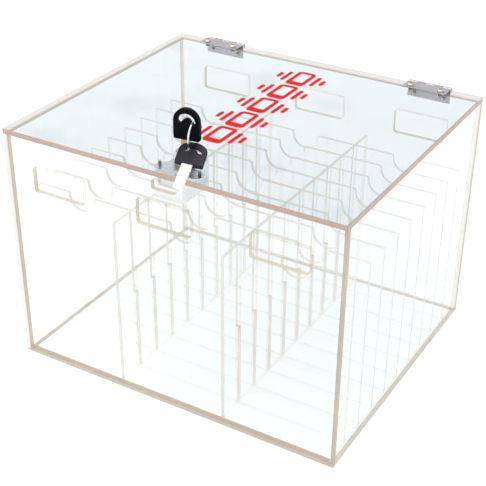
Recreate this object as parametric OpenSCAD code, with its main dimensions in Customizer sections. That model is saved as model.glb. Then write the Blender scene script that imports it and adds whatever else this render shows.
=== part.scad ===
// Clear acrylic locker box for phones: a welded case with an egg-crate rack of thirty slots,
// a lid on two butt hinges, a drawer lock hung from the lid, and two keys on a wire ring.
// Origin: centre of the base, on the table. +X is to the right, -Y is the front, +Z is up.

/* [Case] */
// Outside width of the case
case_w = 300; // [270:1:340]
// Outside depth of the case
case_d = 256; // [230:1:300]
// Height of the walls
wall_h = 207.8; // [200:0.1:240]
// Thickness of the walls and of the bottom
wall_t = 4; // [3:0.5:5]
// Thickness of the lid sheet
lid_t = 4; // [3:0.5:6]

/* [Rack] */
// Height of the dividers and partitions
rack_h = 150.5; // [110:0.5:155]
// Thickness of a cross divider
divider_t = 3; // [2:0.5:4]
// Thickness of a front-to-back partition
partition_t = 3; // [2:0.5:4]
// Radius of the finger scoops
scoop_r = 12.3; // [8:0.1:18]
// Rounding at the lips of the scoops
scoop_lip = 2.3; // [0.5:0.1:5]

/* [Label windows] */
// Width of a label window
window_w = 48.5; // [20:0.5:70]
// Height of a label window
window_h = 21.6; // [10:0.1:26]
// Corner radius of a label window
window_r = 2.5; // [0.5:0.1:5]
// Distance from the top edge of the wall down to a label window
window_drop = 22.2; // [18:0.1:26]

/* [Marking] */
// Number of red marks on the lid
mark_count = 5; // [3:1:6]
// Distance between one mark and the next
mark_pitch = 33.4; // [32:0.1:36]
// Width of the stroke of a mark
mark_stroke = 3.4; // [2:0.1:4]
// Distance from the lid's front edge to the middle of the first mark
mark_front = 78.5; // [74:0.5:90]
// Distance of the marks to the right of the middle
mark_x = 1.5; // [-30:0.5:30]
// Thickness of the marking film
film_t = 0.3; // [0.2:0.05:0.5]

/* [Hinges] */
// Length of a hinge along the back edge
hinge_len = 38.5; // [34:0.5:50]
// Distance from the side of the case to the middle of a hinge
hinge_inset = 48; // [40:1:70]
// Depth of the leaf that lies on the lid
lid_leaf_d = 13.5; // [13:0.5:20]
// How far the upright leaf reaches below the top of the lid
case_leaf_h = 12.5; // [10.5:0.5:14]
// Thickness of a hinge leaf
leaf_t = 1; // [0.8:0.1:1.2]
// Radius of the hinge knuckles
knuckle_r = 2.2; // [2:0.1:2.6]
// Radius of the hinge pin
pin_r = 1; // [0.8:0.05:1.2]
// Distance between the two screws of a leaf
hinge_screw_pitch = 27; // [22:0.5:28]

/* [Screws] */
// Radius of the screw shanks
screw_r = 1.5; // [1.25:0.05:1.6]
// Radius of the screw heads
head_r = 3; // [2.5:0.1:3.2]
// Height of the screw heads
head_h = 2.2; // [1.5:0.1:2.6]
// How far a screw stops short of the far face of the sheet
screw_stop = 1; // [0.5:0.1:1.5]

/* [Lock] */
// Distance of the lock to the right of the middle
lock_x = 1; // [-20:0.5:20]
// Distance from the front of the case back to the lock's axis
lock_setback = 32; // [30:0.5:45]
// Width of the lock's mounting plate across its two ears
ears_w = 41.5; // [41:0.5:46]
// Depth of an ear
ear_d = 14; // [12:0.5:15]
// Distance of the ears in front of the lock's axis
ears_front = 14; // [12:0.5:14]
// Thickness of the lock's mounting plate
plate_t = 2; // [1.5:0.1:2.5]
// Width of the lock's body
body_w = 24; // [23:0.5:25]
// Height of the lock's body below its plate
body_h = 19; // [18.5:0.1:24]
// Clearance between the lock's body and the front wall
body_gap = 3; // [2.5:0.1:5]
// Radius of the plug that the key turns
plug_r = 6; // [5.8:0.1:6.2]
// Radius of the chrome bezel on the lid
bezel_r = 10.7; // [10:0.1:13]
// Height of the bezel above the lid
bezel_h = 5.2; // [4:0.1:7]
// Width of the bolt
bolt_w = 17; // [15:0.1:18]
// Height of the bolt's head
bolt_h = 6; // [4:0.1:6.5]
// Distance from the plug's axis to the drive pin
drive_e = 4; // [3.6:0.1:4.2]

/* [Keys] */
// Width of a key's bow
bow_w = 21.2; // [20.4:0.1:23]
// Height of a key's bow
bow_h = 24.8; // [24:0.1:27]
// Thickness of a key's bow
bow_t = 3.4; // [3:0.1:4]
// Distance of the bow's middle from the middle of the blade
bow_shift = 1; // [0:0.1:2]
// Length of a key's blade below the bow
blade_l = 28; // [25:0.1:31]
// Width of a key's blade
blade_w = 8; // [7:0.1:8.4]
// Thickness of a key's blade
blade_t = 2; // [1.6:0.1:2.2]
// Length of blade that shows between the plug and the bow
key_stand = 9.1; // [8:0.1:11]
// Turn of the key in the lock
key_turn = 8; // [0:1:20]
// Radius of the wire ring at the middle of its wire
ring_r = 11.4; // [11:0.1:11.6]
// Radius of the ring's wire
wire_r = 0.7; // [0.5:0.05:0.8]

/* [Fits] */
// Gap left by a welded joint
weld_gap = 0.05; // [0.02:0.01:0.1]
// Clearance on each side of a half-lap
lap_gap = 0.1; // [0.05:0.05:0.3]
// Clearance between the lid and the walls
lid_gap = 0.2; // [0.1:0.05:0.4]
// Radial running clearance of pins and plug
run_gap = 0.05; // [0.03:0.01:0.1]
// Clearance between parts that slide or turn past each other
slide_gap = 0.25; // [0.2:0.05:0.35]

/* [Hidden] */
$fn = 64;

eps = 0.01;

// Case
columns = 3;
rows = 10;
front_y = -case_d / 2;
back_y = case_d / 2;
inner_w = case_w - 2 * wall_t;
inner_d = case_d - 2 * wall_t;
column_w = (inner_w - (columns - 1) * partition_t) / columns;
column_pitch = column_w + partition_t;
row_pitch = (inner_d + divider_t) / rows;
rack_z = wall_t + weld_gap;
lid_z = wall_h + lid_gap;
lid_top = lid_z + lid_t;

// Marking: each mark is the outline of a handset between two pairs of bars
mark_phone_w = 5 * mark_stroke;
mark_phone_h = 8.8 * mark_stroke;
mark_round = 1.2 * mark_stroke;

// Hinges: the pin lies behind the back wall, level with the top of the lid
knuckles = 5;
knuckle_gap = 0.2;
hinge_play = 0.3;
hinge_y = back_y + hinge_play + knuckle_r;
hinge_z = lid_top + leaf_t - knuckle_r;
hinge_x = case_w / 2 - hinge_inset;
knuckle_len = hinge_len / knuckles;
pin_bore_r = pin_r + run_gap;
lid_screw_y = back_y - lid_leaf_d + head_r + 1.6;
case_screw_z = lid_top - case_leaf_h + head_r + 0.8;
shank_gap = 0.1;
head_seat = 0.02;
hole_stop = screw_stop - 0.2;

// Lock: its plate hangs under the lid and its bolt leaves forwards through the front wall
lock_y = front_y + lock_setback;
plate_z = lid_z - weld_gap - plate_t;
body_front = lock_setback - wall_t - body_gap;
body_back = plug_r + 6;
body_z = plate_z - body_h;
sleeve_r = plug_r + 2.5;
plug_face = lid_top + bezel_h + 0.3;
flange_r = plug_r + 1.1;
flange_h = 3.2;
flange_z = plug_face - flange_h;
sleeve_top = flange_z + 1.6;
plug_z = body_z + 4.9;
bore_z = plug_z + 1.5;
bolt_drop = 2.2;
bolt_top = plate_z - bolt_drop;
bolt_z = bolt_top - bolt_h;
bolt_nose = body_front + 1;
bolt_riser_t = 3;
bolt_riser_y = -plug_r - 9;
bolt_tail_z = body_z + 1.4;
bolt_tail_t = 2.2;
bolt_tail_w = 14;
bolt_tail_back = plug_r + 2;
bolt_round = 1.5;
drive_r = 1.3;
drive_angle = 45;
drive_x = drive_e * cos(drive_angle);
drive_y = drive_e * sin(drive_angle);
bolt_travel = 2 * drive_y;
slot_play_x = 2.1;
slot_play_z = 0.95;
slot_round = 2;
cover_t = 1.5;
cover_screw_r = 1;
clip_t = 0.6;
clip_r = plug_r + 1;
clip_groove_r = plug_r - 0.5;
keyway_w = blade_w + 0.4;
keyway_t = blade_t + 0.3;
wafer_count = 5;
wafer_t = 1;
wafer_pitch = 3;
wafer_w = 5;
wafer_gap = 0.1;
ears_shift = 3;
ear_round = 5.8;
ear_screw_r = 1.1;
ear_head_r = 2.1;
ear_head_h = 1.4;
ear_screw_x = body_w / 2 + ear_head_r + 0.4;

// Keys: both are alike. A key's own origin is on its blade, where the bow begins
slot_mid_r = 5.6;
slot_half = 2;
slot_end_r = slot_half + 0.06;
slot_from = 3 * 360 / $fn;
slot_to = 180 - slot_from;
arch_r = bow_w / 2;
arch_v = bow_h - arch_r;
slot_v = arch_v - 1;
bow_foot = 1.2;
blade_root = 9;
tip_cut = 2.6;
bit_depths = [2.9, 2.2, 2.6, 1.6, 1];
bit_pitch = 3.8;
first_bit = 3.4;
key_1_z = plug_face + key_stand;

// Ring: it hangs in the first key's slot and carries the second key in front of it.
// The two angles are those of its crossings with the keys, seen from its middle
ring_yaw = -77;
ring_hang = 96;
ring_carry = -30;
hang_angle = 20;
hang_drop = 0.3;
hang_u = bow_shift + slot_mid_r * cos(hang_angle);
hang_v = slot_v + slot_mid_r * sin(hang_angle) - hang_drop;
hang_point = [
    lock_x + hang_u * cos(key_turn),
    lock_y + hang_u * sin(key_turn),
    key_1_z + hang_v
];
function on_ring(a) = ring_r * [cos(a) * cos(ring_yaw), cos(a) * sin(ring_yaw), sin(a)];
ring_centre = hang_point - on_ring(ring_hang);
carry_point = ring_centre + on_ring(ring_carry);
key_2_yaw = 19.6;
key_2_tip = 11.2;
key_2_roll = 9.9;
carry_angle = 132;
carry_u = bow_shift + slot_mid_r * cos(carry_angle);
carry_v = slot_v + slot_mid_r * sin(carry_angle);

// ---------- shapes that repeat ----------

module round_rect(w, h, r) {
    square([w - 2 * r, h], center = true);
    square([w, h - 2 * r], center = true);
    for (sx = [-1, 1], sy = [-1, 1])
        translate([sx * (w / 2 - r), sy * (h / 2 - r)]) circle(r);
}

// A sheet that stands upright across the case, its outline drawn in X and Z
module upright_sheet(y, t) {
    translate([0, y + t, 0]) rotate([90, 0, 0]) linear_extrude(t) children();
}

// A pan-head screw: its head stands on Z = 0 and its shank runs down to -length
module pan_screw(length, shank = screw_r, head = head_r, rise = head_h) {
    dome = 1.6 * head;
    difference() {
        union() {
            intersection() {
                translate([0, 0, head_seat]) cylinder(r = head, h = rise);
                translate([0, 0, rise - dome]) sphere(dome);
            }
            translate([0, 0, -length]) cylinder(r = shank, h = length + rise / 2);
        }
        for (a = [0, 90])
            rotate(a) translate([-head * 0.6, -head * 0.15, rise * 0.4])
                cube([head * 1.2, head * 0.3, rise]);
    }
}

module at_hinges() {
    for (side = [-1, 1]) translate([side * hinge_x, 0, 0]) children();
}

module at_hinge_screws() {
    for (side = [-1, 1]) translate([side * hinge_screw_pitch / 2, 0, 0]) children();
}

module at_lock() {
    translate([lock_x, lock_y, 0]) children();
}

// The two ears lie a little to the right of the lock's axis, and the screws are even about them
module at_ear_screws() {
    for (x = [-ear_screw_x, ear_screw_x + 2 * ears_shift])
        translate([x, -ears_front, 0]) children();
}

module at_cover_screws() {
    for (sx = [-1, 1])
        translate([sx * (body_w / 2 - cover_screw_r - 0.75), body_back - cover_screw_r - 0.75, 0])
            children();
}

// ---------- case ----------

module wall_outline() {
    translate([0, wall_h / 2]) square([case_w, wall_h], center = true);
}

module window_row() {
    for (c = [-1 : 1])
        translate([c * column_pitch, wall_h - window_drop - window_h / 2])
            round_rect(window_w, window_h, window_r);
}

module bolt_slot() {
    slot_w = bolt_w + 2 * slot_play_x;
    slot_h = bolt_h + 2 * slot_play_z;
    translate([lock_x, bolt_z + bolt_h / 2]) round_rect(slot_w, slot_h, slot_round);
}

module bottom_panel() {
    color("#e6eff0") translate([0, 0, wall_t / 2])
        cube([inner_w - 2 * weld_gap, inner_d - 2 * weld_gap, wall_t], center = true);
}

module front_panel() {
    color("#e6eff0") upright_sheet(front_y, wall_t) difference() {
        wall_outline();
        window_row();
        bolt_slot();
    }
}

module back_panel() {
    color("#e6eff0") difference() {
        upright_sheet(back_y - wall_t, wall_t) difference() {
            wall_outline();
            window_row();
        }
        at_hinges() at_hinge_screws() translate([0, back_y + 1, case_screw_z])
            rotate([90, 0, 0]) cylinder(r = screw_r + shank_gap, h = wall_t - hole_stop + 1);
    }
}

module side_panel(side) {
    color("#e6eff0") translate([side * (case_w - wall_t) / 2, 0, wall_h / 2])
        cube([wall_t, inner_d - 2 * weld_gap, wall_h], center = true);
}

// ---------- rack ----------

// One finger scoop: a round hollow whose lips roll out into the top edge at Y = 0
module scoop() {
    lip_y = -0.85 * scoop_lip;
    translate([0, lip_y]) circle(scoop_r);
    difference() {
        translate([-scoop_r - scoop_lip / 2, lip_y]) square([2 * scoop_r + scoop_lip, 1 - lip_y]);
        for (side = [-1, 1]) translate([side * (scoop_r + scoop_lip), lip_y]) circle(scoop_lip);
    }
}

module slot_divider(row) {
    half_w = inner_w / 2 - lap_gap;
    notch_w = partition_t + 2 * lap_gap;
    color("#dfe9ea") translate([0, 0, rack_z])
        upright_sheet(front_y + wall_t + row * row_pitch - divider_t, divider_t) difference() {
            translate([-half_w, 0]) square([2 * half_w, rack_h]);
            for (c = [-1 : 1]) translate([c * column_pitch, rack_h]) scoop();
            for (side = [-1, 1]) translate([side * column_pitch / 2 - notch_w / 2, rack_h / 2])
                square([notch_w, rack_h]);
        }
}

module partition(side) {
    half_d = inner_d / 2 - lap_gap;
    notch_w = divider_t + 2 * lap_gap;
    color("#dfe9ea") translate([side * column_pitch / 2 - partition_t / 2, 0, rack_z])
        rotate([90, 0, 90]) linear_extrude(partition_t) difference() {
            translate([-half_d, 0]) square([2 * half_d, rack_h]);
            for (row = [1 : rows - 1])
                translate([front_y + wall_t + row * row_pitch - divider_t / 2 - notch_w / 2, -eps])
                    square([notch_w, rack_h / 2 + lap_gap]);
        }
}

// ---------- hinges ----------

module knuckle(i) {
    translate([-hinge_len / 2 + i * knuckle_len + knuckle_gap / 2, 0, 0]) rotate([0, 90, 0])
        cylinder(r = knuckle_r, h = knuckle_len - knuckle_gap);
}

// Room that a leaf leaves for the other leaf's knuckle
module knuckle_room(i) {
    room = knuckle_r + 1.2 * hinge_play;
    translate([-hinge_len / 2 + i * knuckle_len - knuckle_gap / 2, 0, 0]) rotate([0, 90, 0])
        cylinder(r = room, h = knuckle_len + knuckle_gap);
}

module pin_bore() {
    translate([-hinge_len / 2 - 1, 0, 0]) rotate([0, 90, 0])
        cylinder(r = pin_bore_r, h = hinge_len + 2);
}

module hinge_case_leaf(side) {
    leaf_z = lid_top - case_leaf_h;
    color("#b8b6bd") translate([side * hinge_x, 0, 0]) difference() {
        union() {
            translate([-hinge_len / 2, back_y + weld_gap, leaf_z])
                cube([hinge_len, leaf_t, hinge_z - leaf_z]);
            translate([0, hinge_y, hinge_z]) for (i = [0 : 2 : knuckles - 1]) knuckle(i);
        }
        translate([0, hinge_y, hinge_z]) pin_bore();
        translate([0, hinge_y, hinge_z]) for (i = [1 : 2 : knuckles - 1]) knuckle_room(i);
        at_hinge_screws() translate([0, back_y + leaf_t + 1, case_screw_z])
            rotate([90, 0, 0]) cylinder(r = screw_r + shank_gap, h = leaf_t + 2);
    }
}

module hinge_lid_leaf(side) {
    leaf_y = back_y - lid_leaf_d;
    color("#b8b6bd") translate([side * hinge_x, 0, 0]) difference() {
        union() {
            translate([-hinge_len / 2, leaf_y, lid_top + weld_gap])
                cube([hinge_len, hinge_y - leaf_y, leaf_t - weld_gap]);
            translate([0, hinge_y, hinge_z]) for (i = [1 : 2 : knuckles - 1]) knuckle(i);
        }
        translate([0, hinge_y, hinge_z]) pin_bore();
        translate([0, hinge_y, hinge_z]) for (i = [0 : 2 : knuckles - 1]) knuckle_room(i);
        for (i = [0 : 2 : knuckles - 1])
            translate([-hinge_len / 2 + i * knuckle_len - knuckle_gap / 2, back_y, lid_top])
                cube([knuckle_len + knuckle_gap, 2 * knuckle_r + 1, leaf_t + 1]);
        at_hinge_screws() translate([0, lid_screw_y, lid_top - 1])
            cylinder(r = screw_r + shank_gap, h = leaf_t + 2);
    }
}

module hinge_pin(side) {
    color("#8c8a90") translate([side * hinge_x - hinge_len / 2, hinge_y, hinge_z])
        rotate([0, 90, 0]) cylinder(r = pin_r, h = hinge_len);
}

// Thread-forming screws in blind holes, like all the screws that hold metal to the sheet
module case_hinge_screws() {
    length = leaf_t + wall_t - screw_stop + 2 * weld_gap;
    color("#c9c2ad") at_hinges() at_hinge_screws()
        translate([0, back_y + leaf_t + 2 * weld_gap, case_screw_z])
            rotate([-90, 0, 0]) pan_screw(length);
}

module lid_hinge_screws() {
    length = leaf_t + lid_t - screw_stop + weld_gap;
    color("#c9c2ad") at_hinges() at_hinge_screws()
        translate([0, lid_screw_y, lid_top + leaf_t + weld_gap]) pan_screw(length);
}

// ---------- lid ----------

module lid_panel() {
    color("#e6eff0") difference() {
        translate([0, 0, lid_z + lid_t / 2]) cube([case_w, case_d, lid_t], center = true);
        at_lock() translate([0, 0, lid_z - 1]) cylinder(r = sleeve_r + slide_gap, h = lid_t + 2);
        at_lock() at_ear_screws() translate([0, 0, lid_z - 1])
            cylinder(r = ear_screw_r + shank_gap, h = lid_t - hole_stop + 1);
        at_hinges() at_hinge_screws() translate([0, lid_screw_y, lid_z + hole_stop])
            cylinder(r = screw_r + shank_gap, h = lid_t);
    }
}

module handset_mark() {
    inner_w = mark_phone_w - 2 * mark_stroke;
    inner_h = mark_phone_h - 2 * mark_stroke;
    difference() {
        round_rect(mark_phone_w, mark_phone_h, mark_round);
        translate([0, mark_stroke / 2]) square([inner_w, inner_h - mark_stroke], center = true);
    }
    for (side = [-1, 1]) {
        translate([side * (mark_phone_w / 2 + 1.6 * mark_stroke), 0])
            round_rect(mark_stroke, mark_phone_h * 0.68, mark_stroke / 2 - eps);
        translate([side * (mark_phone_w / 2 + 3.5 * mark_stroke), 0])
            round_rect(mark_stroke, mark_phone_h * 0.36, mark_stroke / 2 - eps);
    }
}

module lid_marking() {
    color("#e8323c") for (i = [0 : mark_count - 1])
        translate([mark_x, front_y + mark_front + i * mark_pitch, lid_top + weld_gap])
            linear_extrude(film_t) handset_mark();
}

// ---------- lock ----------

module lock_case() {
    channel_w = bolt_w + 2 * slide_gap;
    window_z = bolt_z - slide_gap;
    window_top = bolt_top + slide_gap;
    front_wall = 1.5;
    channel_back = plug_r + 2.6;
    tail_room = plug_r + 4;
    color("#bfc2c6") at_lock() difference() {
        union() {
            translate([ears_shift, -ears_front, plate_z]) linear_extrude(plate_t)
                round_rect(ears_w, ear_d, ear_round);
            translate([-body_w / 2, -body_front, body_z])
                cube([body_w, body_front + body_back, body_h + plate_t]);
            translate([0, 0, plate_z]) cylinder(r = sleeve_r, h = sleeve_top - plate_z);
        }
        translate([0, 0, bore_z - eps]) cylinder(r = plug_r + run_gap, h = sleeve_top - bore_z + 1);
        translate([0, 0, flange_z - run_gap]) cylinder(r = flange_r + run_gap, h = flange_h);
        translate([-channel_w / 2, -body_front - 1, window_z])
            cube([channel_w, body_front + 1 - channel_back, window_top - window_z]);
        translate([-channel_w / 2, -body_front + front_wall, body_z - 1])
            cube([channel_w, body_front - front_wall - channel_back, window_top - body_z + 1]);
        translate([-channel_w / 2, -channel_back - eps, body_z - 1])
            cube([channel_w, channel_back + tail_room, bore_z - body_z + 1]);
        at_ear_screws() translate([0, 0, plate_z - 1])
            cylinder(r = ear_screw_r + shank_gap, h = plate_t + 2);
        at_cover_screws() translate([0, 0, body_z - 1]) cylinder(r = cover_screw_r, h = 6);
    }
}

module lock_cover() {
    color("#adb0b4") at_lock() difference() {
        translate([-body_w / 2, -body_front, body_z - cover_t - weld_gap])
            cube([body_w, body_front + body_back, cover_t]);
        at_cover_screws() translate([0, 0, body_z - cover_t - 1])
            cylinder(r = cover_screw_r + shank_gap, h = cover_t + 2);
    }
}

module lock_cover_screws() {
    color("#8f9196") at_lock() at_cover_screws() translate([0, 0, body_z - cover_t - 2 * weld_gap])
        difference() {
            union() {
                translate([0, 0, -1]) cylinder(r = 1.7 * cover_screw_r, h = 1);
                translate([0, 0, -0.5]) cylinder(r = cover_screw_r - run_gap, h = cover_t + 4.5);
            }
            translate([-2 * cover_screw_r, -0.25, -1.5]) cube([4 * cover_screw_r, 0.5, 1]);
        }
}

module lock_bezel() {
    bezel_z = lid_top + weld_gap;
    lip_z = sleeve_top + run_gap;
    bevel = bezel_h * 0.55;
    color("#d9dadf") at_lock() difference() {
        union() {
            translate([0, 0, bezel_z]) cylinder(r = bezel_r, h = lid_top + bezel_h - bevel - bezel_z);
            translate([0, 0, lid_top + bezel_h - bevel])
                cylinder(r1 = bezel_r, r2 = flange_r + 1.3, h = bevel);
        }
        translate([0, 0, bezel_z - 1]) cylinder(r = sleeve_r + run_gap, h = lip_z - bezel_z + 1);
        translate([0, 0, bezel_z]) cylinder(r = flange_r + slide_gap, h = bezel_h + 1);
    }
}

module lock_screws() {
    length = plate_t + lid_t - screw_stop + 2 * weld_gap;
    color("#c4c4c6") at_lock() at_ear_screws() translate([0, 0, plate_z - weld_gap])
        rotate([180, 0, 0]) pan_screw(length, ear_screw_r, ear_head_r, ear_head_h);
}

module keyway(z_from, z_to) {
    translate([-keyway_w / 2, -keyway_t / 2, z_from]) cube([keyway_w, keyway_t, z_to - z_from]);
}

function wafer_z(i) = flange_z - 5 - i * wafer_pitch;

module lock_plug() {
    keyway_z = plug_face - (blade_l - key_stand) - 1;
    color("#c8a85c") at_lock() rotate(key_turn) difference() {
        union() {
            translate([0, 0, plug_z]) cylinder(r = plug_r, h = plug_face - plug_z - 1);
            translate([0, 0, flange_z]) cylinder(r = flange_r, h = flange_h);
        }
        keyway(keyway_z, plug_face + 1);
        for (i = [0 : wafer_count - 1])
            translate([-plug_r - 1, -wafer_w / 2 - wafer_gap, wafer_z(i) - wafer_gap])
                cube([2 * plug_r + 2, wafer_w + 2 * wafer_gap, wafer_t + 2 * wafer_gap]);
        translate([0, 0, plug_z + 0.5]) difference() {
            cylinder(r = plug_r + 1, h = clip_t + 0.1);
            translate([0, 0, -1]) cylinder(r = clip_groove_r, h = clip_t + 2);
        }
        rotate(-key_turn) translate([drive_x, drive_y, plug_z - 1])
            cylinder(r = drive_r + run_gap / 2, h = 4);
    }
}

module lock_wafers() {
    color("#d2b46a") at_lock() rotate(key_turn) for (i = [0 : wafer_count - 1]) difference() {
        intersection() {
            translate([0, 0, wafer_z(i)]) cylinder(r = plug_r - wafer_gap, h = wafer_t);
            translate([-plug_r, -wafer_w / 2, wafer_z(i) - 1])
                cube([2 * plug_r, wafer_w, wafer_t + 2]);
        }
        translate([-keyway_w / 2 - 0.2, -keyway_t / 2 - 0.1, wafer_z(i) - 1])
            cube([keyway_w + 0.4, keyway_t + 0.2, wafer_t + 2]);
    }
}

module lock_drive_pin() {
    color("#9a9ca1") at_lock() translate([drive_x, drive_y, bolt_tail_z - 0.5])
        cylinder(r = drive_r, h = plug_z + 3 - bolt_tail_z + 0.4);
}

module lock_plug_clip() {
    mouth = 1.4 * clip_groove_r;
    color("#85878c") at_lock() translate([0, 0, plug_z + 0.55]) difference() {
        cylinder(r = clip_r, h = clip_t);
        translate([0, 0, -1]) cylinder(r = clip_groove_r + run_gap, h = clip_t + 2);
        translate([0, -mouth / 2, -1]) cube([clip_r + 1, mouth, clip_t + 2]);
    }
}

module lock_bolt() {
    slot_r = drive_r + slide_gap;
    color("#c7c9cd") at_lock() difference() {
        union() {
            translate([0, 0, bolt_z]) linear_extrude(bolt_h)
                translate([0, (bolt_riser_y - bolt_nose) / 2])
                    round_rect(bolt_w, bolt_nose + bolt_riser_y, bolt_round);
            translate([-bolt_w / 2, bolt_riser_y, bolt_tail_z])
                cube([bolt_w, bolt_riser_t, bolt_top - bolt_tail_z]);
            translate([-bolt_w / 2, bolt_riser_y - bolt_round, bolt_z])
                cube([bolt_w, bolt_round + eps, bolt_h]);
            translate([-bolt_tail_w / 2, bolt_riser_y + eps, bolt_tail_z])
                cube([bolt_tail_w, bolt_tail_back - bolt_riser_y, bolt_tail_t]);
        }
        for (x = [drive_x, drive_e]) translate([x, drive_y, bolt_tail_z - 1])
            cylinder(r = slot_r, h = bolt_tail_t + 2);
        translate([drive_x, drive_y - slot_r, bolt_tail_z - 1])
            cube([drive_e - drive_x, 2 * slot_r, bolt_tail_t + 2]);
    }
}

// ---------- keys ----------

module bow_outline() {
    translate([0, arch_v]) circle(arch_r);
    translate([-arch_r, bow_foot]) square([2 * arch_r, arch_v - bow_foot]);
    translate([-arch_r + bow_foot, 0]) square([2 * (arch_r - bow_foot), bow_foot + eps]);
    for (side = [-1, 1]) translate([side * (arch_r - bow_foot), bow_foot]) circle(bow_foot);
}

// The curved slot that the ring passes through
module bow_slot() {
    reach = 3 * slot_mid_r;
    translate([0, slot_v]) {
        difference() {
            circle(slot_mid_r + slot_half);
            circle(slot_mid_r - slot_half);
            translate([-reach, -2 * reach]) square([2 * reach, 2 * reach]);
            rotate(slot_from) translate([0, -reach]) square([reach, reach]);
            rotate(slot_to) square([reach, reach]);
        }
        for (a = [slot_from, slot_to]) rotate(a) translate([slot_mid_r, 0]) circle(slot_end_r);
    }
}

module key_bow() {
    color("#1b1b1e") difference() {
        translate([0, bow_t / 2, 0]) rotate([90, 0, 0]) linear_extrude(bow_t) difference() {
            translate([bow_shift, 0]) bow_outline();
            translate([bow_shift, 0]) bow_slot();
        }
        translate([-blade_w / 2 - run_gap, -blade_t / 2 - run_gap, -1])
            cube([blade_w + 2 * run_gap, blade_t + 2 * run_gap, 1 + blade_root + run_gap]);
    }
}

module key_blade() {
    color("#d6d6d2") difference() {
        translate([0, blade_t / 2, 0]) rotate([90, 0, 0]) linear_extrude(blade_t) difference() {
            translate([-blade_w / 2, -blade_l]) square([blade_w, blade_l + blade_root]);
            for (side = [-1, 1]) translate([side * blade_w / 2, -blade_l]) rotate(45)
                square(tip_cut, center = true);
            for (i = [0 : len(bit_depths) - 1])
                translate([blade_w / 2, -blade_l + first_bit + i * bit_pitch]) rotate(45)
                    square(bit_depths[i] * sqrt(2), center = true);
        }
        for (side = [-1, 1])
            translate([-blade_w / 6 - 0.4, side * blade_t / 2 - 0.4, -blade_l - 1])
                cube([0.8, 0.8, blade_l - 1]);
    }
}

module at_key_1() {
    translate([lock_x, lock_y, key_1_z]) rotate(key_turn) children();
}

module at_key_2() {
    translate(carry_point) rotate([key_2_tip - 90, 0, key_2_yaw]) rotate(key_2_roll)
        translate([-carry_u, 0, -carry_v]) children();
}

module key_1_blade() {
    at_key_1() key_blade();
}

module key_1_bow() {
    at_key_1() key_bow();
}

module key_ring() {
    color("#b9bcc0") translate(ring_centre) rotate([90, 0, ring_yaw])
        rotate_extrude() translate([ring_r, 0]) circle(wire_r, $fn = 24);
}

module key_2_blade() {
    at_key_2() key_blade();
}

module key_2_bow() {
    at_key_2() key_bow();
}

bottom_panel();
front_panel();
back_panel();
side_panel(-1);  // left_panel
side_panel(1);  // right_panel
partition(-1);  // left_partition
partition(1);  // right_partition
slot_divider(1);  // slot_divider_1
slot_divider(2);  // slot_divider_2
slot_divider(3);  // slot_divider_3
slot_divider(4);  // slot_divider_4
slot_divider(5);  // slot_divider_5
slot_divider(6);  // slot_divider_6
slot_divider(7);  // slot_divider_7
slot_divider(8);  // slot_divider_8
slot_divider(9);  // slot_divider_9
hinge_case_leaf(-1);  // left_hinge_case_leaf
hinge_case_leaf(1);  // right_hinge_case_leaf
hinge_pin(-1);  // left_hinge_pin
hinge_pin(1);  // right_hinge_pin
case_hinge_screws();
lid_panel();
lid_marking();
hinge_lid_leaf(-1);  // left_hinge_lid_leaf
hinge_lid_leaf(1);  // right_hinge_lid_leaf
lid_hinge_screws();
lock_case();
lock_cover();
lock_cover_screws();
lock_bezel();
lock_screws();
lock_plug();
lock_wafers();
lock_drive_pin();
lock_plug_clip();
lock_bolt();
key_1_blade();
key_1_bow();
key_ring();
key_2_blade();
key_2_bow();
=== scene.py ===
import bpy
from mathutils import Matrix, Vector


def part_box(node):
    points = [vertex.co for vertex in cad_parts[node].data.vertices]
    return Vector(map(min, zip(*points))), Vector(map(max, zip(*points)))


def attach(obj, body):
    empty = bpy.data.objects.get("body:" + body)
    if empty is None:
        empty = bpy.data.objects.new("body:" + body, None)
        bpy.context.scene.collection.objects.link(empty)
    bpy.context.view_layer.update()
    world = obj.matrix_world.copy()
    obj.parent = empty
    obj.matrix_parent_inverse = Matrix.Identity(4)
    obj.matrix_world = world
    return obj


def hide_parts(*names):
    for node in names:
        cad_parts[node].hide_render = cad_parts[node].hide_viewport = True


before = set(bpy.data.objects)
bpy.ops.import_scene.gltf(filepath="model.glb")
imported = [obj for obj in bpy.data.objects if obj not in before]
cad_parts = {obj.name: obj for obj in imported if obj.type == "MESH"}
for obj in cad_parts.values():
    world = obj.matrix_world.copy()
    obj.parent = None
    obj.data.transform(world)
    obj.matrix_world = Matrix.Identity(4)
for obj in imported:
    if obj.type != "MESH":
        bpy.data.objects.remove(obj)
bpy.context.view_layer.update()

import math

import bpy
from mathutils import Matrix, Vector

# ---------------------------------------------------------------------------
# The table under the box, the soft lamps over it and the camera. The table is
# a wide sheet of white card that keeps the box's shadow. To the camera and to
# every mirror it is as white as the room behind it.

MM = 0.001
TABLE_WIDTH = 12
TABLE_DROP = 0.2 * MM
CARD_WHITE = (0.88, 0.885, 0.89, 1)
CARD_NEAR, CARD_FAR = 0.5, 3.0
CARD_NEAR_GLOW, CARD_FAR_GLOW = 0.2, 0.85
LAMPS_AIM = (0, 0, 0.1)
PHOTO_LENS = 81.6
PHOTO_SHIFT = (0.0121, 0.0519)
PHOTO_PLACE = (0.41168, -0.71393, 0.57085)
PHOTO_HEADING, PHOTO_TILT, PHOTO_ROLL = 30.671, 58.406, 0.29


def new_finish(name):
    finish = bpy.data.materials.new(name)
    finish.use_nodes = True
    finish.node_tree.nodes.clear()
    return finish


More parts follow.
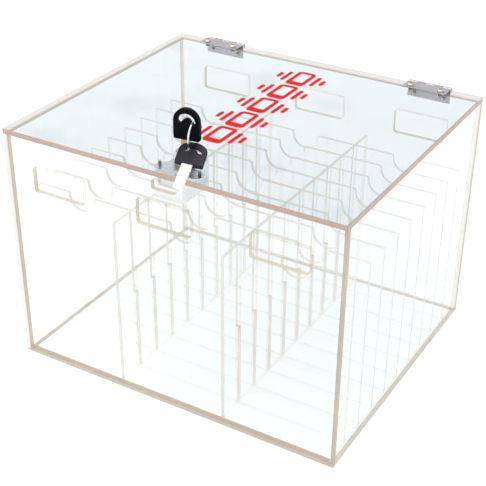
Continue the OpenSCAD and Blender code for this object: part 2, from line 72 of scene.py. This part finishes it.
def put(finish, kind, settings=None, **sockets):
    """Adds one shader node. Each socket is given a value, or the output that feeds it.

    A socket is named with _ for its spaces, or by _ and its number."""
    made = finish.node_tree.nodes.new("ShaderNode" + kind)
    for name, value in (settings or {}).items():
        setattr(made, name, value)
    for name, value in sockets.items():
        socket = made.inputs[int(name[1:])] if name[0] == "_" else made.inputs[name.replace("_", " ")]
        if isinstance(value, bpy.types.NodeSocket):
            finish.node_tree.links.new(value, socket)
        else:
            socket.default_value = value
    return made


def maths(finish, operation, first, second=0.0, clamp=False):
    settings = {"operation": operation, "use_clamp": clamp}
    return put(finish, "Math", settings, _0=first, _1=second).outputs[0]


def seen_as_white(tree):
    """1 for what the camera, a mirror or a clear sheet sees directly, 0 for the light that falls."""
    path = put(tree, "LightPath").outputs
    seen = maths(tree, "ADD", path["Is Camera Ray"], path["Is Glossy Ray"])
    return maths(tree, "ADD", seen, path["Is Transmission Ray"], clamp=True)


bpy.ops.object.select_all(action="DESELECT")
bpy.ops.mesh.primitive_plane_add(size=TABLE_WIDTH, location=(0, 0, -TABLE_DROP))
table = bpy.context.object
table.name = "table"
bpy.ops.object.transform_apply(location=True, rotation=True, scale=True)
card = new_finish("white_card")
card_face = put(card, "BsdfDiffuse", Color=CARD_WHITE, Roughness=0.5).outputs[0]
card_place = put(card, "TexCoord").outputs["Object"]
card_fibres = put(card, "TexNoise", Vector=card_place, Scale=60.0, Detail=4.0).outputs["Fac"]
card_reach = put(card, "VectorMath", {"operation": "LENGTH"}, _0=card_place).outputs["Value"]
card_far = put(card, "MapRange", Value=card_reach, From_Min=CARD_NEAR, From_Max=CARD_FAR,
               To_Min=CARD_NEAR_GLOW, To_Max=CARD_FAR_GLOW).outputs[0]
card_glow = maths(card, "ADD", card_far, maths(card, "MULTIPLY", card_fibres, 0.02))
card_glow = maths(card, "MULTIPLY", card_glow, seen_as_white(card))
card_lift = put(card, "Emission", Color=(1, 1, 1, 1), Strength=card_glow).outputs[0]
card_look = put(card, "AddShader", _0=card_face, _1=card_lift).outputs[0]
put(card, "OutputMaterial", Surface=card_look)
table.data.materials.append(card)

room = bpy.data.worlds.new("white_room")
room.use_nodes = True
room.node_tree.nodes.clear()
white_room = put(room, "Background", Color=(1, 1, 1, 1), Strength=1.0).outputs[0]
room_light = put(room, "Background", Color=(0.95, 0.97, 1.0, 1), Strength=0.6).outputs[0]
room_mix = put(room, "MixShader", _0=seen_as_white(room), _1=room_light, _2=white_room).outputs[0]
put(room, "OutputWorld", Surface=room_mix)
bpy.context.scene.world = room


def soft_lamp(name, place, size, watts):
    lamp = bpy.data.lights.new(name, "AREA")
    lamp.shape = "RECTANGLE"
    lamp.size, lamp.size_y = size
    lamp.energy = watts
    held = bpy.data.objects.new(name, lamp)
    held.location = place
    held.rotation_euler = (Vector(LAMPS_AIM) - Vector(place)).to_track_quat("-Z", "Y").to_euler()
    bpy.context.scene.collection.objects.link(held)


soft_lamp("lamp_over", (-0.4, -0.1, 1.9), (1.6, 1.6), 16)
soft_lamp("lamp_left", (-1.6, -1.2, 1.0), (1.2, 1.2), 8)
soft_lamp("lamp_right", (1.6, -0.9, 0.9), (0.9, 1.3), 7)

view = bpy.data.cameras.new("photo_view")
view.sensor_width = 36
view.lens = PHOTO_LENS
view.shift_x, view.shift_y = PHOTO_SHIFT
view.clip_start = 0.05
camera = bpy.data.objects.new("photo_view", view)
camera.matrix_world = (
    Matrix.Translation(PHOTO_PLACE)
    @ Matrix.Rotation(math.radians(PHOTO_HEADING), 4, "Z")
    @ Matrix.Rotation(math.radians(PHOTO_TILT), 4, "X")
    @ Matrix.Rotation(math.radians(PHOTO_ROLL), 4, "Z")
)
bpy.context.scene.collection.objects.link(camera)
bpy.context.scene.camera = camera
bpy.context.scene.view_settings.view_transform = "Standard"
bpy.context.scene.cycles.max_bounces = 24
bpy.context.scene.cycles.transparent_max_bounces = 96
bpy.context.scene.cycles.glossy_bounces = 6

# ---------------------------------------------------------------------------
# The case: a bottom and four walls of clear cast acrylic, sawn and welded with
# solvent. A sawn edge gathers the light of its sheet and looks beige. The
# windows in the front and the back are cut by laser and stay clearer.

WALL_T = 4 * MM
ACRYLIC_IOR = 1.49
CASE_TINT = (0.990, 0.996, 0.996)
# How a cut looks: its pale band, its arrises darkened with painted shade, and how far one sees through
# it.
SAWN = ((0.68, 0.575, 0.43), (0.52, 0.42, 0.30), 0.1)
SAWN_BOTTOM = ((0.76, 0.61, 0.44), (0.62, 0.48, 0.34), 0.08)
WELDED = ((0.86, 0.81, 0.73), (0.66, 0.59, 0.51), 0.9)
WINDOW = ((0.84, 0.75, 0.58), (0.54, 0.45, 0.34), 0.2)
# Where the inner cuts of a sheet are: half their width, their height and half their height.
WINDOW_REACH = (138 * MM, 180 * MM, 24 * MM)
BOTTOM_REACH = (145.5 * MM, 0, 1)
# The pitch of a sheet that has no others beside it, and how far before its face its depth starts.
ALONE = 1
FACE_START = 0.05 * MM
AXES = {"X": 0, "Y": 1, "Z": 2}


def ramp(finish, value, low, high, to_low=0.0, to_high=1.0):
    """A smooth step of a value, from to_low at low to to_high at high."""
    return put(finish, "MapRange", {"interpolation_type": "SMOOTHSTEP"}, Value=value, From_Min=low,
               From_Max=high, To_Min=to_low, To_Max=to_high).outputs[0]


def grain(finish, scale, stretch=(1, 1, 1), detail=4.0):
    """Noise on the piece's own coordinates in metres, drawn out along an axis by a small stretch."""
    place = put(finish, "TexCoord").outputs["Object"]
    drawn = put(finish, "Mapping", Vector=place, Scale=stretch).outputs[0]
    noise = put(finish, "TexNoise", Vector=drawn, Scale=scale, Detail=detail, Roughness=0.55)
    return noise.outputs["Fac"]


def blend(finish, parts):
    """The sum of several outputs, each with its own weight."""
    total = 0.0
    for value, weight in parts:
        added = put(finish, "Math", {"operation": "MULTIPLY_ADD"}, _0=value, _1=weight, _2=total)
        total = added.outputs[0]
    return total


def tones(finish, factor, first, second):
    """A colour between two, by a factor."""
    mixed = put(finish, "Mix", {"data_type": "RGBA"}, _0=factor)
    for socket, colour in zip((mixed.inputs[6], mixed.inputs[7]), (first, second)):
        socket.default_value = (*colour, 1)
    return mixed.outputs[2]


def dented(finish, height, strength):
    return put(finish, "Bump", Height=height, Strength=strength, Distance=0.1 * MM).outputs[0]


def parts_of(sheet, vector):
    return put(sheet, "SeparateXYZ", Vector=vector).outputs


def polished_face(sheet, tint, inside):
    """Clear plastic with a mirror on it, and in the mirror hand marks and fine scratches.

    The mirror takes nothing from the light that falls, since the other sheets send that back."""
    smudges = ramp(sheet, grain(sheet, 16.0, detail=3.0), 0.5, 0.8)
    scratches = ramp(sheet, grain(sheet, 1100.0, (1, 0.03, 0.3), detail=2.0), 0.62, 0.8)
    film = blend(sheet, [(smudges, 0.6), (scratches, 0.4)])
    seen_through = tones(sheet, film, tint, [c * c * 0.992 for c in tint])
    through = put(sheet, "BsdfTransparent", Color=seen_through).outputs[0]
    dull = blend(sheet, [(smudges, 0.06), (scratches, 0.08)])
    gloss = put(sheet, "BsdfGlossy", Color=(1, 1, 1, 1), Roughness=dull).outputs[0]
    lit = put(sheet, "LightPath").outputs["Is Shadow Ray"]
    outside = maths(sheet, "SUBTRACT", 1.0, maths(sheet, "MAXIMUM", inside, lit))
    mirror = maths(sheet, "MULTIPLY", put(sheet, "Fresnel", IOR=ACRYLIC_IOR).outputs[0], outside)
    return put(sheet, "MixShader", _0=mirror, _1=through, _2=gloss).outputs[0]


def cut_edge(sheet, depth, inside, look):
    """Two arrises darkened with painted shade, and a paler band between them that the saw has
    streaked.

    Seen from inside the sheet it is a clear, tinted line, and most of the light passes it."""
    light, dark, clearness = look
    # Painted shade: the edge colour darkens towards both arrises, and a random cloud varies its tone.
    painted_arris_shade = ramp(sheet, maths(sheet, "ABSOLUTE", maths(sheet, "SUBTRACT", depth, 0.5)), 0.28, 0.45)
    cloud = ramp(sheet, grain(sheet, 22.0, detail=2.0), 0.35, 0.7)
    painted_shade_and_cloud = blend(sheet, [(painted_arris_shade, 0.65), (cloud, 0.35)])
    streaks = grain(sheet, 420.0, (1, 1, 5), detail=3.0)
    solid = put(sheet, "BsdfPrincipled", Base_Color=tones(sheet, painted_shade_and_cloud, light, dark), Roughness=0.3,
                Normal=dented(sheet, streaks, 0.3)).outputs[0]
    faint, strong = [[0.62 + 0.38 * c for c in colour] for colour in (light, dark)]
    through = put(sheet, "BsdfTransparent", Color=tones(sheet, painted_shade_and_cloud, faint, strong)).outputs[0]
    middle = ramp(sheet, inside, 0.0, 1.0, clearness, 0.97)
    covered = ramp(sheet, inside, 0.0, 1.0, 0.35, 0.1)
    uncovered = maths(sheet, "SUBTRACT", 1.0, maths(sheet, "MULTIPLY", painted_arris_shade, covered))
    clear = maths(sheet, "MULTIPLY", middle, uncovered)
    lit = maths(sheet, "MULTIPLY", put(sheet, "LightPath").outputs["Is Shadow Ray"], 0.85)
    seen_through = maths(sheet, "MAXIMUM", clear, lit)
    return put(sheet, "MixShader", _0=seen_through, _1=solid, _2=through).outputs[0]


def clear_sheet(name, across, first, pitch, thick, tint, look, inner_look=None, reach=None):
    """Clear sheets a pitch apart, whose faces look along one axis. The first one starts at first.

    Cuts within the reach have the inner look."""
    sheet = new_finish(name)
    place = put(sheet, "TexCoord").outputs
    spot = parts_of(sheet, place["Object"])
    facing = parts_of(sheet, place["Normal"])[AXES[across]]
    inside = put(sheet, "NewGeometry").outputs["Backfacing"]
    depth = maths(sheet, "SUBTRACT", spot[AXES[across]], first - FACE_START)
    depth = maths(sheet, "DIVIDE", maths(sheet, "FLOORED_MODULO", depth, pitch), thick)
    edge = cut_edge(sheet, depth, inside, look)
    if inner_look:
        half_width, height, half_height = reach
        sideways = maths(sheet, "DIVIDE", maths(sheet, "ABSOLUTE", spot["X"]), half_width)
        upwards = maths(sheet, "ABSOLUTE", maths(sheet, "SUBTRACT", spot["Z"], height))
        upwards = maths(sheet, "DIVIDE", upwards, half_height)
        outer = maths(sheet, "GREATER_THAN", maths(sheet, "MAXIMUM", sideways, upwards), 1.0)
        inner_edge = cut_edge(sheet, depth, inside, inner_look)
        edge = put(sheet, "MixShader", _0=outer, _1=inner_edge, _2=edge).outputs[0]
    on_edge = ramp(sheet, maths(sheet, "ABSOLUTE", facing), 0.6, 0.95, 1.0, 0.0)
    face = polished_face(sheet, tint, inside)
    whole = put(sheet, "MixShader", _0=on_edge, _1=face, _2=edge).outputs[0]
    put(sheet, "OutputMaterial", Surface=whole)
    return sheet


def dress(nodes, finish):
    """Gives these pieces of the frame one finish."""
    for node in nodes:
        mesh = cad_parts[node].data
        mesh.materials.clear()
        mesh.materials.append(finish)


front_y, back_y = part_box("front_panel")[0].y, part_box("back_panel")[0].y
left_x, right_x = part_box("left_panel")[0].x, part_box("right_panel")[0].x
dress(["front_panel", "back_panel"],
      clear_sheet("wall_sheet_y", "Y", front_y, back_y - front_y, WALL_T, CASE_TINT, SAWN,
                  WINDOW, WINDOW_REACH))
dress(["left_panel", "right_panel"],
      clear_sheet("wall_sheet_x", "X", left_x, right_x - left_x, WALL_T, CASE_TINT, SAWN))
# The bottom's edges are beige along the front and the back, and clear welds at its sides.
dress(["bottom_panel"],
      clear_sheet("bottom_sheet", "Z", 0, ALONE, WALL_T, CASE_TINT, WELDED, SAWN_BOTTOM, BOTTOM_REACH))

# ---------------------------------------------------------------------------
# The rack: two partitions and nine slot dividers of 3 mm clear acrylic, cut by
# laser, which leaves a pale, glassy edge. They slide into each other's slits
# and stand loose on the bottom.

RACK_T = 3 * MM
RACK_TINT = (0.998, 0.9988, 0.999)
LASER_CUT = ((0.93, 0.885, 0.81), (0.80, 0.745, 0.67), 0.25)
divider_y, next_divider_y = [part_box(f"slot_divider_{row}")[0].y for row in (1, 2)]
partition_x, next_partition_x = [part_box(f"{side}_partition")[0].x for side in ("left", "right")]
dress([f"slot_divider_{row}" for row in range(1, 10)],
      clear_sheet("rack_sheet_y", "Y", divider_y, next_divider_y - divider_y, RACK_T,
                  RACK_TINT, LASER_CUT))
dress(["left_partition", "right_partition"],
      clear_sheet("rack_sheet_x", "X", partition_x, next_partition_x - partition_x, RACK_T,
                  RACK_TINT, LASER_CUT))

# ---------------------------------------------------------------------------
# The lid: one sheet of the same acrylic, with a round hole for the lock and
# blind holes for the hinge screws. The marking on it is cut from red vinyl
# film: five handsets that ring, in a row from the lock to the back.

# The lid's tint is much darker than the walls' tint of the same acrylic: painted shade over all that
# is seen through the lid.
LID_TINT_WITH_PAINTED_SHADE = (0.882, 0.904, 0.906)
# The lid's cut edges are pinker than the walls': a painted pink reflection over their beige.
LID_EDGE_WITH_PAINTED_REFLECTION = ((0.66, 0.46, 0.38), (0.54, 0.37, 0.31), 0.06)
FILM_RED, FILM_DEEP_RED = (0.80, 0.006, 0.014), (0.70, 0.004, 0.010)
dress(["lid_panel"],
      clear_sheet("lid_sheet", "Z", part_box("lid_panel")[0].z, ALONE, WALL_T, LID_TINT_WITH_PAINTED_SHADE, LID_EDGE_WITH_PAINTED_REFLECTION))

red_film = new_finish("red_film")
film_grain = grain(red_film, 900.0, detail=3.0)
film_cloud = ramp(red_film, grain(red_film, 40.0), 0.35, 0.7)
film_tone = tones(red_film, film_cloud, FILM_RED, FILM_DEEP_RED)
film_look = put(red_film, "BsdfPrincipled", Base_Color=film_tone, Specular_IOR_Level=0.1,
                Roughness=ramp(red_film, film_grain, 0.3, 0.7, 0.45, 0.6),
                Normal=dented(red_film, film_grain, 0.15)).outputs[0]
put(red_film, "OutputMaterial", Surface=film_look)
dress(["lid_marking"], red_film)

# ---------------------------------------------------------------------------
# The two butt hinges: leaves of 1 mm steel rolled round a pin, brushed along
# their length. The lower leaves stand behind the back wall and the upper ones
# lie on the lid, their edges broken with a file.

LEAF_TONES = ((0.38, 0.36, 0.39), (0.54, 0.52, 0.55))
PIN_TONES = ((0.34, 0.33, 0.35), (0.46, 0.45, 0.47))
SCREW_TONES = ((0.50, 0.42, 0.32), (0.76, 0.70, 0.58))
LEAF_ROUND = 0.15 * MM
PIN_ROUND = 0.2 * MM
SCREW_ROUND = 0.12 * MM
SAME_POINT = 0.002 * MM
SAME_PLANE = math.radians(0.3)
SHARP_EDGE = math.radians(35)
SMOOTH_EDGE = math.radians(32)


def brushed(name, colours, roughness, along, scale=700.0, wear=0.12, bump=0.12):
    """Metal with fine lines along one axis and duller patches where hands have been."""
    metal = new_finish(name)
    lines = grain(metal, scale, along, detail=3.0)
    patches = ramp(metal, grain(metal, 60.0), 0.4, 0.75)
    fine = ramp(metal, lines, 0.25, 0.75, roughness, roughness + 0.1)
    look = put(metal, "BsdfPrincipled", Metallic=1.0, Normal=dented(metal, lines, bump),
               Base_Color=tones(metal, blend(metal, [(lines, 0.6), (patches, 0.4)]), *colours),
               Roughness=blend(metal, [(fine, 1.0), (patches, wear)])).outputs[0]
    put(metal, "OutputMaterial", Surface=look)
    return metal


def whole_copy(node):
    """A copy of a piece of the frame, its triangles joined into whole faces, left in edit mode."""
    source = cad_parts[node]
    bpy.ops.object.select_all(action="DESELECT")
    piece = bpy.data.objects.new(node + "_made", source.data.copy())
    piece.data.materials.clear()
    bpy.context.scene.collection.objects.link(piece)
    piece.select_set(True)
    bpy.context.view_layer.objects.active = piece
    bpy.ops.object.mode_set(mode="EDIT")
    bpy.ops.mesh.select_all(action="SELECT")
    bpy.ops.mesh.remove_doubles(threshold=SAME_POINT)
    bpy.ops.mesh.dissolve_limited(angle_limit=SAME_PLANE)
    return piece


def break_edges(piece, width, segments=2):
    """Rounds the sharp edges of the piece that is being edited, with flat faces still shaded flat.

    The width is the most that it takes. The clamp holds all of a piece's edges back to what its
    shortest ones leave room for: about 0.05 mm on the bows, and next to nothing on the lock's case,
    cover, plug and screws."""
    bpy.ops.object.mode_set(mode="OBJECT")
    rounding = piece.modifiers.new("rounding", "BEVEL")
    rounding.width = width
    rounding.segments = segments
    rounding.limit_method = "ANGLE"
    rounding.angle_limit = SHARP_EDGE
    rounding.use_clamp_overlap = True
    bpy.ops.object.modifier_apply(modifier=rounding.name)
    bpy.ops.object.shade_smooth_by_angle(angle=SMOOTH_EDGE)
    flattening = piece.modifiers.new("flattening", "WEIGHTED_NORMAL")
    flattening.keep_sharp = True
    bpy.ops.object.modifier_apply(modifier=flattening.name)


def stand_in_place(piece, node, body, finish):
    """Shows the finished piece instead of the frame's own, on the same body."""
    piece.data.materials.append(finish)
    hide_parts(node)
    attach(piece, body)


def refine(nodes, body, finish, width, segments=2):
    """Replaces pieces of the frame by copies whose edges are broken, all in one finish."""
    for node in nodes:
        piece = whole_copy(node)
        break_edges(piece, width, segments)
        stand_in_place(piece, node, body, finish)


leaf_steel = brushed("leaf_steel", LEAF_TONES, roughness=0.26, along=(0.06, 1, 1))
pin_steel = brushed("pin_steel", PIN_TONES, roughness=0.3, along=(0.3, 1, 1))
refine(["left_hinge_case_leaf", "right_hinge_case_leaf"], "case", leaf_steel, LEAF_ROUND)
refine(["left_hinge_lid_leaf", "right_hinge_lid_leaf"], "lid", leaf_steel, LEAF_ROUND)
refine(["left_hinge_pin", "right_hinge_pin"], "case", pin_steel, PIN_ROUND)

screw_plating = brushed("screw_plating", SCREW_TONES, roughness=0.16, along=(1, 1, 1), scale=500.0)
refine(["case_hinge_screws"], "case", screw_plating, SCREW_ROUND)
refine(["lid_hinge_screws"], "lid", screw_plating, SCREW_ROUND)

# ---------------------------------------------------------------------------
# The drawer lock under the lid: a nickel-plated case with two ears that are
# screwed up into the sheet, a pressed cover, a flat bolt, and above the lid a
# chrome bezel round the brass plug.

NICKEL_TONES = ((0.82, 0.83, 0.84), (0.93, 0.94, 0.95))
LOCK_STEEL_TONES = ((0.44, 0.44, 0.46), (0.58, 0.58, 0.60))
CHROME_TONES = ((0.62, 0.62, 0.68), (0.78, 0.78, 0.83))
BRASS_TONES = ((0.52, 0.43, 0.30), (0.68, 0.58, 0.42))
LOCK_CASE_ROUND = 0.3 * MM
BOLT_ROUND = 0.25 * MM
LOCK_SCREW_ROUND = 0.1 * MM
BEZEL_ROUND = 0.4 * MM
PLUG_ROUND = 0.15 * MM

nickel = brushed("lock_nickel", NICKEL_TONES, roughness=0.16, along=(1, 1, 0.15), scale=350.0,
                 wear=0.1, bump=0.08)
lock_steel = brushed("lock_steel", LOCK_STEEL_TONES, roughness=0.26, along=(1, 1, 1))
refine(["lock_case", "lock_cover"], "lid", nickel, LOCK_CASE_ROUND)
refine(["lock_bolt"], "lock_bolt", nickel, BOLT_ROUND)
refine(["lock_screws", "lock_cover_screws"], "lid", lock_steel, LOCK_SCREW_ROUND)
dress(["lock_drive_pin", "lock_plug_clip"], lock_steel)

chrome = brushed("bezel_chrome", CHROME_TONES, roughness=0.05, along=(1, 1, 0.2), scale=250.0,
                 wear=0.06, bump=0.03)
refine(["lock_bezel"], "lid", chrome, BEZEL_ROUND, segments=3)

brass = brushed("plug_brass", BRASS_TONES, roughness=0.2, along=(1, 1, 0.1), scale=600.0)
refine(["lock_plug"], "lock_plug", brass, PLUG_ROUND)
dress(["lock_wafers"], brass)

# ---------------------------------------------------------------------------
# The two keys: a bow moulded in black plastic, its faces sunk inside a rim, on
# a punched blade plated with nickel. Key 1 stands in the lock: its bow is darker
# with painted shade, and its blade is brown. Key 2 is the spare: its bow is lighter
# with a painted sheen, and its blade near white with a painted highlight.

# Key 1's bow is darker with painted shade; key 2's bow is lighter and bluer with a painted sheen.
BOW_TONES_PAINTED_SHADE = ((0.004, 0.004, 0.005), (0.007, 0.007, 0.008))
BOW_TONES_PAINTED_SHEEN = ((0.009, 0.009, 0.015), (0.017, 0.017, 0.028))
# Key 1's blade is brown; key 2's blade is near white, a painted highlight.
BROWN_BLADE_TONES = ((0.42, 0.33, 0.26), (0.60, 0.50, 0.42))
BLADE_TONES_PAINTED_HIGHLIGHT = ((0.90, 0.89, 0.88), (0.98, 0.97, 0.96))
BOW_RIM = 1 * MM
BOW_SINK = 0.3 * MM
BOW_ROUND = 0.35 * MM
BLADE_ROUND = 0.12 * MM
SAME_LEVEL = 0.05 * MM
SAME_WAY = 0.9999


def moulded(name, colours, roughness, shine):
    """Black plastic from a lightly spark-eroded mould."""
    plastic = new_finish(name)
    skin = grain(plastic, 1500.0, detail=3.0)
    wipe = ramp(plastic, grain(plastic, 90.0, (1, 1, 0.3)), 0.35, 0.7)
    fine = ramp(plastic, skin, 0.3, 0.7, roughness, roughness + 0.1)
    look = put(plastic, "BsdfPrincipled", Base_Color=tones(plastic, wipe, *colours),
               Roughness=blend(plastic, [(fine, 1.0), (wipe, 0.1)]), Specular_IOR_Level=shine,
               Normal=dented(plastic, skin, 0.2)).outputs[0]
    put(plastic, "OutputMaterial", Surface=look)
    return plastic


def sink_broad_faces(piece, rim, depth):
    """Presses in the two outermost faces of the piece that is being edited, inside a rim."""
    bpy.ops.object.mode_set(mode="OBJECT")
    bpy.context.scene.tool_settings.mesh_select_mode = (False, False, True)
    mesh = piece.data
    broad = max(mesh.polygons, key=lambda face: face.area).normal.copy()
    for side in (1, -1):
        for part in (mesh.vertices, mesh.edges, mesh.polygons):
            part.foreach_set("select", [False] * len(part))
        facing = [face for face in mesh.polygons if face.normal.dot(broad) * side > SAME_WAY]
        outermost = max(face.center.dot(broad) * side for face in facing)
        for face in facing:
            face.select = face.center.dot(broad) * side > outermost - SAME_LEVEL
        bpy.ops.object.mode_set(mode="EDIT")
        bpy.ops.mesh.inset(thickness=rim, depth=0, use_boundary=True, use_even_offset=True)
        bpy.ops.mesh.inset(thickness=depth / 2, depth=-depth, use_boundary=True, use_even_offset=True)
        bpy.ops.object.mode_set(mode="OBJECT")
    bpy.ops.object.mode_set(mode="EDIT")


# Two copies of one black plastic: one darkened with painted shade, one lightened with a painted sheen.
bow_looks = {
    "key_1": moulded("bow_painted_shade", BOW_TONES_PAINTED_SHADE, roughness=0.4, shine=0.05),
    "key_2": moulded("bow_painted_sheen", BOW_TONES_PAINTED_SHEEN, roughness=0.3, shine=0.34),
}
# Key 2's blade is painted near white as a highlight; key 1's blade is brown.
blade_looks = {
    "key_1": brushed("blade_brown", BROWN_BLADE_TONES, roughness=0.24, along=(1, 1, 0.1), scale=500.0),
    "key_2": brushed("blade_painted_highlight", BLADE_TONES_PAINTED_HIGHLIGHT, roughness=0.2, along=(1, 1, 0.1), scale=500.0),
}
for key in ("key_1", "key_2"):
    bow = whole_copy(key + "_bow")
    sink_broad_faces(bow, BOW_RIM, BOW_SINK)
    break_edges(bow, BOW_ROUND, segments=3)
    stand_in_place(bow, key + "_bow", key, bow_looks[key])
    refine([key + "_blade"], key, blade_looks[key], BLADE_ROUND)

# ---------------------------------------------------------------------------
# The ring: hard steel wire bent to a circle and plated bright. It passes
# through the slots of both bows.

WIRE_TONES = ((0.60, 0.60, 0.63), (0.80, 0.80, 0.83))
WIRE_ROUND = 0.1 * MM
ring_steel = brushed("ring_steel", WIRE_TONES, roughness=0.1, along=(1, 1, 1), scale=900.0,
                     wear=0.1, bump=0.05)
refine(["key_ring"], "key_ring", ring_steel, WIRE_ROUND)
